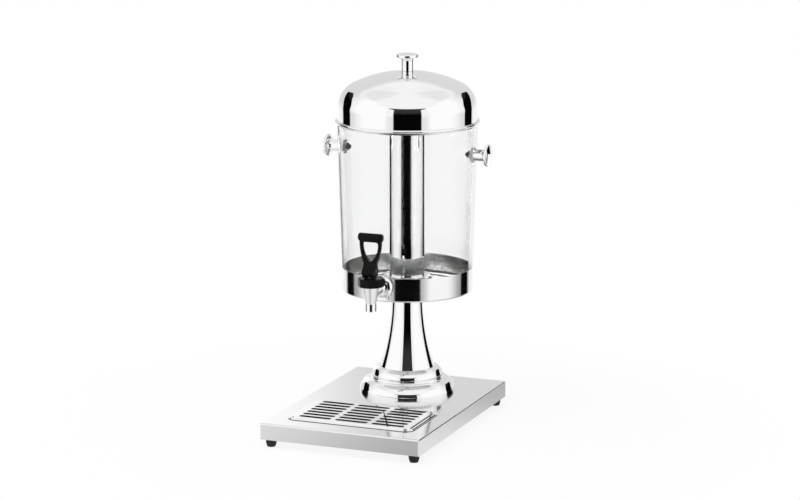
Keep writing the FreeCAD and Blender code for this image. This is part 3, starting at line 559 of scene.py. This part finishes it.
class FinishTank(bpy.types.Operator):
    """Clear tank with its brushed band"""

    bl_idname = "dispenser.finish_tank"
    bl_label = "Tank"

    def execute(self, context):
        dress("band_steel", "tank_band")
        dress("clear_plastic", "clear_tank")
        return {"FINISHED"}


class FinishIceTube(bpy.types.Operator):
    """Polished ice tube and the clamp under it"""

    bl_idname = "dispenser.finish_ice_tube"
    bl_label = "Ice tube"

    def execute(self, context):
        dress("polished_steel", "ice_tube", "ice_tube_foot")
        dress("silicone", "ice_tube_gasket")
        dress("white_plastic", "clamp_spacer")
        dress("plain_steel", "spigot_nut")
        return {"FINISHED"}


class FinishLid(bpy.types.Operator):
    """Domed lid with its ring and knob"""

    bl_idname = "dispenser.finish_lid"
    bl_label = "Lid"

    def execute(self, context):
        dome = turn_round("lid_dome", lid_outline(context.scene.dispenser_size))
        add_piece("lid_dome", dome, "lid", "polished_steel", "polished_steel", "lid_shell")
        dress("polished_steel", "lid_knob")
        dress("inner_steel", "lid_locating_ring")
        dress("plain_steel", "lid_knob_washer", "lid_knob_screw")
        return {"FINISHED"}


class FinishKnobs(bpy.types.Operator):
    """Turned side knobs and their fastenings"""

    bl_idname = "dispenser.finish_knobs"
    bl_label = "Side knobs"

    def execute(self, context):
        dress("polished_steel", "left_knob", "right_knob")
        dress("silicone", "knob_gaskets")
        dress("polished_steel", "knob_washers")
        dress("dark_steel", "knob_cap_nuts")
        return {"FINISHED"}


class FinishTap(bpy.types.Operator):
    """Plated tap, its seals, bonnet, stem and coil spring"""

    bl_idname = "dispenser.finish_tap"
    bl_label = "Tap"

    def execute(self, context):
        sizes = context.scene.dispenser_size
        dress("chrome", "tap_body", "tap_rosette")
        dress("silicone", "tap_outer_gasket", "tap_inner_gasket", "tap_seat_cup")
        dress("plain_steel", "tap_lock_nut", "tap_stem")
        dress("black_plastic", "tap_bonnet")
        low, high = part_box("tap_spring")
        wire = sizes.spring_wire / 2
        reach = (high.x - low.x) / 2 - wire
        count = 40 * sizes.spring_turns
        points = []
        for index in range(count + 1):
            turn = 2 * math.pi * sizes.spring_turns * index / count
            height = low.z + wire + (high.z - low.z - 2 * wire) * index / count
            points.append(Vector((reach * math.cos(turn), TAP_Y + reach * math.sin(turn), height)))
        coil = sweep("tap_coil_spring", points, wire)
        spring = add_piece(
            "tap_coil_spring", coil, "tank_unit", "plain_steel", "plain_steel", "tap_spring")
        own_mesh(spring)
        return {"FINISHED"}


class FinishHandle(bpy.types.Operator):
    """Black lever handle and its pin"""

    bl_idname = "dispenser.finish_handle"
    bl_label = "Tap handle"

    def execute(self, context):
        dress("black_plastic", "tap_handle")
        dress("plain_steel", "handle_pin")
        return {"FINISHED"}


def build_world(stage):
    """White studio: the camera sees plain white, and metal sees soft boxes, a dark panel and two flags.

    Angles are in degrees: side from the camera's direction, and height over the horizon.
    """
    world = bpy.data.worlds.new("studio")
    bpy.context.scene.world = world
    world.use_nodes = True
    world.cycles.sampling_method = "NONE"
    sheet = NodeSheet(world.node_tree)
    direction = sheet.add("ShaderNodeTexCoord").outputs["Generated"]
    east, north, up = sheet.add("ShaderNodeSeparateXYZ", {0: direction}).outputs
    sine, cosine = math.sin(stage.azimuth), math.cos(stage.azimuth)
    facing = sheet.less(sheet.times(east, sine), sheet.times(north, cosine))
    across = sheet.plus(sheet.times(east, cosine), sheet.times(north, sine))
    turn = sheet.times(sheet.math("ARCTAN2", across, facing), DEGREES)
    side = sheet.math("ABSOLUTE", turn)
    right = sheet.math("GREATER_THAN", turn, 0.0)
    height = sheet.times(sheet.math("ARCSINE", up), DEGREES)
    path = sheet.add("ShaderNodeLightPath").outputs
    mirrored_before = sheet.math("MINIMUM", path["Glossy Depth"], 1.0)
    through = sheet.times(path["Is Transmission Ray"], mirrored_before)
    clear_view = sheet.times(path["Is Transmission Ray"], sheet.less(1.0, mirrored_before))

    # White walls, dimmer at the back, with two brighter soft boxes beside the camera
    back_dim, flank_dim, box_gain = 0.24, 0.13, 0.08
    back = sheet.times(back_dim, sheet.rise(side, 96.0, 140.0), sheet.rise(height, -8.0, 4.0),
                       sheet.fall(height, 36.0, 46.0))
    flank = sheet.times(flank_dim, sheet.rise(side, 60.0, 90.0), sheet.fall(side, 150.0, 175.0),
                        sheet.rise(height, 40.0, 52.0), sheet.fall(height, 68.0, 82.0))
    edge = sheet.plus(32.0, sheet.times(15.0, sheet.rise(side, 42.0, 74.0)))
    box = sheet.times(box_gain, sheet.rise(side, 33.0, 38.0), sheet.fall(side, 92.0, 102.0),
                      sheet.rise(sheet.less(edge, height), -2.0, 2.0))
    white = sheet.plus(sheet.less(sheet.less(1.0, back), flank), box)

    # Dark panel behind the camera, wider where it is seen through the tank
    half = math.degrees(stage.panel)
    left_widening, right_widening, horn_reach = 18.0, 2.0, 10.0
    black = 0.002
    left_half = sheet.plus(half, sheet.times(through, left_widening))
    right_half = sheet.plus(half, sheet.times(through, right_widening))
    horns = sheet.times(horn_reach, sheet.rise(height, 23.0, 29.0))
    reach = sheet.plus(sheet.between(right, left_half, right_half), horns)
    panel = sheet.times(sheet.fall(sheet.less(side, reach), -0.8, 1.2), sheet.fall(height, 28.0, 31.5),
                        sheet.rise(height, -32.0, -24.0))
    panel_level = sheet.plus(black, sheet.times(0.034, sheet.rise(height, 3.0, 18.0)))

    # Two black flags at the sides, which lean outwards with height
    flag_inner, flag_outer, flag_blur = 108.0, 131.0, 0.8
    lean_in = sheet.math("MAXIMUM", sheet.less(height, 8.0), 0.0)
    lean_out = sheet.math("MAXIMUM", sheet.plus(height, 2.0), 0.0)
    inner = sheet.plus(flag_inner, sheet.times(0.042, lean_in, lean_in))
    outer = sheet.math("MINIMUM", sheet.plus(flag_outer, sheet.times(0.048, lean_out, lean_out)),
                       sheet.less(170.0, height))
    inner = sheet.between(through, inner, sheet.between(right, 126.0, 116.0))
    outer = sheet.between(through, outer, sheet.between(right, 168.0, 142.0))
    flag = sheet.times(sheet.rise(sheet.less(side, inner), -flag_blur, flag_blur),
                       sheet.fall(sheet.less(side, outer), -flag_blur, flag_blur),
                       sheet.fall(height, 29.0, 31.0), sheet.rise(height, -40.0, -30.0))
    flag_level = sheet.plus(black, sheet.times(0.025, sheet.rise(height, 18.0, 30.0)))

    # Soft shade beside the panel and the flags, on what upright walls mirror
    panel_shade, flag_shade = 0.45, 0.62
    low = sheet.times(sheet.plus(0.35, sheet.times(0.65, sheet.fall(height, -12.0, -10.4))),
                      sheet.fall(height, -8.5, 2.0))
    by_panel = sheet.times(panel_shade, sheet.fall(sheet.less(side, reach), 0.0, 20.0))
    by_flag = sheet.times(flag_shade, sheet.rise(sheet.less(side, inner), -36.0, -1.0),
                          sheet.fall(sheet.less(side, outer), 0.0, 8.0))
    white = sheet.times(white, sheet.less(1.0, sheet.times(low, sheet.plus(by_panel, by_flag))))
    studio = sheet.between(flag, sheet.between(panel, white, panel_level), flag_level)

    # Light that metal inside the tank passes on, which the render cuts short
    deep_gain = 8.0
    deep = sheet.times(sheet.math("GREATER_THAN", path["Transmission Depth"], 5.5),
                       path["Is Transmission Ray"],
                       sheet.math("GREATER_THAN", path["Glossy Depth"], 1.5))
    studio = sheet.times(studio, sheet.plus(1.0, sheet.times(deep, deep_gain)))
    mirrored = sheet.math("MAXIMUM", path["Is Glossy Ray"], through)
    seen = sheet.between(mirrored, stage.ambient, studio)
    seen = sheet.between(sheet.math("MAXIMUM", path["Is Camera Ray"], clear_view), seen, 1.0)
    light = sheet.add("ShaderNodeBackground", {"Color": sheet.grey(seen), "Strength": 1.0})
    output = sheet.add("ShaderNodeOutputWorld")
    sheet.put(output.inputs["Surface"], light.outputs[0])


def floor_material(stage):
    """White floor that fades out, keeps a faint shadow, and shows metal a soft grey of painted shade.
    """
    material = bpy.data.materials.new("white_floor")
    material.use_nodes = True
    material.cycles.emission_sampling = "NONE"
    sheet = NodeSheet(material.node_tree)
    path = sheet.add("ShaderNodeLightPath").outputs
    place = sheet.add("ShaderNodeTexCoord").outputs["Object"]
    east, north, _ = sheet.add("ShaderNodeSeparateXYZ", {0: place}).outputs
    # Painted shade that only mirrors see: a grey that the front and the right side of the base mirror,
    # brighter to the left and to the front
    front = sheet.between(sheet.rise(east, -0.2, 0.12), 0.82, 0.5)
    flank = sheet.between(sheet.rise(north, -0.13, 0.3), 0.86, 0.52)
    grey = sheet.between(sheet.rise(east, 0.125, 0.14), front, flank)
    mirrored = sheet.math("MAXIMUM", path["Is Glossy Ray"], path["Is Transmission Ray"])
    shadow_share = 0.12
    lit = sheet.add("ShaderNodeBsdfDiffuse", {"Color": (0.85, 0.85, 0.85, 1)}).outputs[0]
    white = sheet.add("ShaderNodeEmission", {"Color": (1, 1, 1, 1), "Strength": 1.0}).outputs[0]
    seen = sheet.add("ShaderNodeMixShader", {0: shadow_share, 1: white, 2: lit}).outputs[0]
    soft = sheet.add("ShaderNodeEmission", {"Color": sheet.grey(grey), "Strength": 1.0}).outputs[0]
    shown = sheet.add("ShaderNodeMixShader", {0: path["Is Camera Ray"], 1: lit, 2: seen}).outputs[0]
    shown = sheet.add("ShaderNodeMixShader", {0: mirrored, 1: shown, 2: soft}).outputs[0]
    radius = sheet.add("ShaderNodeVectorMath", {0: place}, operation="LENGTH").outputs["Value"]
    gone = sheet.rise(radius, stage.floor_radius * 0.55, stage.floor_radius * 0.98)
    clear = sheet.add("ShaderNodeBsdfTransparent").outputs[0]
    shown = sheet.add("ShaderNodeMixShader", {0: gone, 1: shown, 2: clear}).outputs[0]
    output = sheet.add("ShaderNodeOutputMaterial")
    sheet.put(output.inputs["Surface"], shown)
    return material


def card_material():
    """White card that fades out towards its right edge."""
    material = bpy.data.materials.new("white_card")
    material.use_nodes = True
    material.cycles.emission_sampling = "NONE"
    sheet = NodeSheet(material.node_tree)
    place = sheet.add("ShaderNodeTexCoord").outputs["Generated"]
    across = sheet.add("ShaderNodeSeparateXYZ", {0: place}).outputs[0]
    white = sheet.add("ShaderNodeEmission", {"Color": (1, 1, 1, 1), "Strength": 1.1}).outputs[0]
    clear = sheet.add("ShaderNodeBsdfTransparent").outputs[0]
    share = sheet.rise(across, 0.45, 1.0)
    shown = sheet.add("ShaderNodeMixShader", {0: share, 1: white, 2: clear}).outputs[0]
    output = sheet.add("ShaderNodeOutputMaterial")
    sheet.put(output.inputs["Surface"], shown)
    return material


def add_card(name, azimuth, material, across, toward, heights):
    """An upright studio card that only mirrors see, square to the camera's direction."""
    right = Vector((math.cos(azimuth), math.sin(azimuth), 0))
    front = Vector((math.sin(azimuth), -math.cos(azimuth), 0)) * toward
    low, high = heights
    left, far = across
    corners = [(left, 0, low), (far, 0, low), (far, 0, high), (left, 0, high)]
    mesh = bpy.data.meshes.new(name)
    mesh.from_pydata(corners, [], [(0, 1, 2, 3)])
    mesh.materials.append(material)
    card = bpy.data.objects.new(name, mesh)
    card.location = front
    card.rotation_euler = (0, 0, math.atan2(right.y, right.x))
    card.visible_camera = False
    card.visible_diffuse = False
    card.visible_transmission = False
    card.visible_shadow = False
    bpy.context.scene.collection.objects.link(card)


class BuildStage(bpy.types.Operator):
    """White floor, soft studio light and the camera"""

    bl_idname = "dispenser.build_stage"
    bl_label = "Stage"

    def execute(self, context):
        scene = context.scene
        stage = scene.dispenser_stage
        scene.view_settings.view_transform = "Standard"
        build_world(stage)

        form = bmesh.new()
        bmesh.ops.create_circle(form, cap_ends=True, segments=96, radius=stage.floor_radius)
        mesh = bpy.data.meshes.new("floor")
        form.to_mesh(mesh)
        form.free()
        mesh.materials.append(floor_material(stage))
        floor = bpy.data.objects.new("floor", mesh)
        scene.collection.objects.link(floor)

        card = card_material()
        for name, place in CARDS.items():
            add_card(name, stage.azimuth, card, **place)

        lamp = bpy.data.lights.new("overhead", "AREA")
        lamp.shape = "DISK"
        lamp.size = stage.lamp_size
        lamp.energy = stage.lamp_power
        overhead = bpy.data.objects.new("overhead", lamp)
        overhead.location = LAMP_PLACE
        aim = Vector(LAMP_TARGET) - overhead.location
        overhead.rotation_euler = aim.to_track_quat("-Z", "Y").to_euler()
        overhead.visible_glossy = False
        overhead.visible_transmission = False
        scene.collection.objects.link(overhead)

        view = bpy.data.cameras.new("camera")
        view.sensor_width = 36
        view.lens = stage.lens
        view.shift_x = stage.shift
        view.clip_end = 50
        camera = bpy.data.objects.new("camera", view)
        level = math.cos(stage.elevation)
        away = Vector((math.sin(stage.azimuth) * level, -math.cos(stage.azimuth) * level,
                       math.sin(stage.elevation)))
        camera.location = Vector((0, COLUMN_Y, stage.target_height)) + away * stage.distance
        camera.rotation_euler = (-away).to_track_quat("-Z", "Y").to_euler()
        scene.collection.objects.link(camera)
        scene.camera = camera
        return {"FINISHED"}


steps = (MakeFinishes, FinishBase, FinishFeet, FinishPedestal, FinishDripTray, FinishTank,
         FinishIceTube, FinishLid, FinishKnobs, FinishTap, FinishHandle, BuildStage)


class DispenserPanel(bpy.types.Panel):
    """Lists the steps that finish the dispenser"""

    bl_idname = "VIEW3D_PT_dispenser"
    bl_label = "Juice dispenser"
    bl_space_type = "VIEW_3D"
    bl_region_type = "UI"
    bl_category = "Dispenser"

    def draw(self, context):
        for step in steps:
            self.layout.operator(step.bl_idname)
        for group in (context.scene.dispenser_finish, context.scene.dispenser_size,
                      context.scene.dispenser_stage):
            column = self.layout.column()
            for name in group.__annotations__:
                column.prop(group, name)


classes = (FinishSettings, SizeSettings, StageSettings, *steps, DispenserPanel)


def register():
    for kind in classes:
        bpy.utils.register_class(kind)
    bpy.types.Scene.dispenser_finish = PointerProperty(type=FinishSettings)
    bpy.types.Scene.dispenser_size = PointerProperty(type=SizeSettings)
    bpy.types.Scene.dispenser_stage = PointerProperty(type=StageSettings)


def unregister():
    del bpy.types.Scene.dispenser_stage
    del bpy.types.Scene.dispenser_size
    del bpy.types.Scene.dispenser_finish
    for kind in reversed(classes):
        bpy.utils.unregister_class(kind)


def main():
    register()
    for step in steps:
        group, name = step.bl_idname.split(".")
        getattr(getattr(bpy.ops, group), name)()


if __name__ == "__main__":
    main()
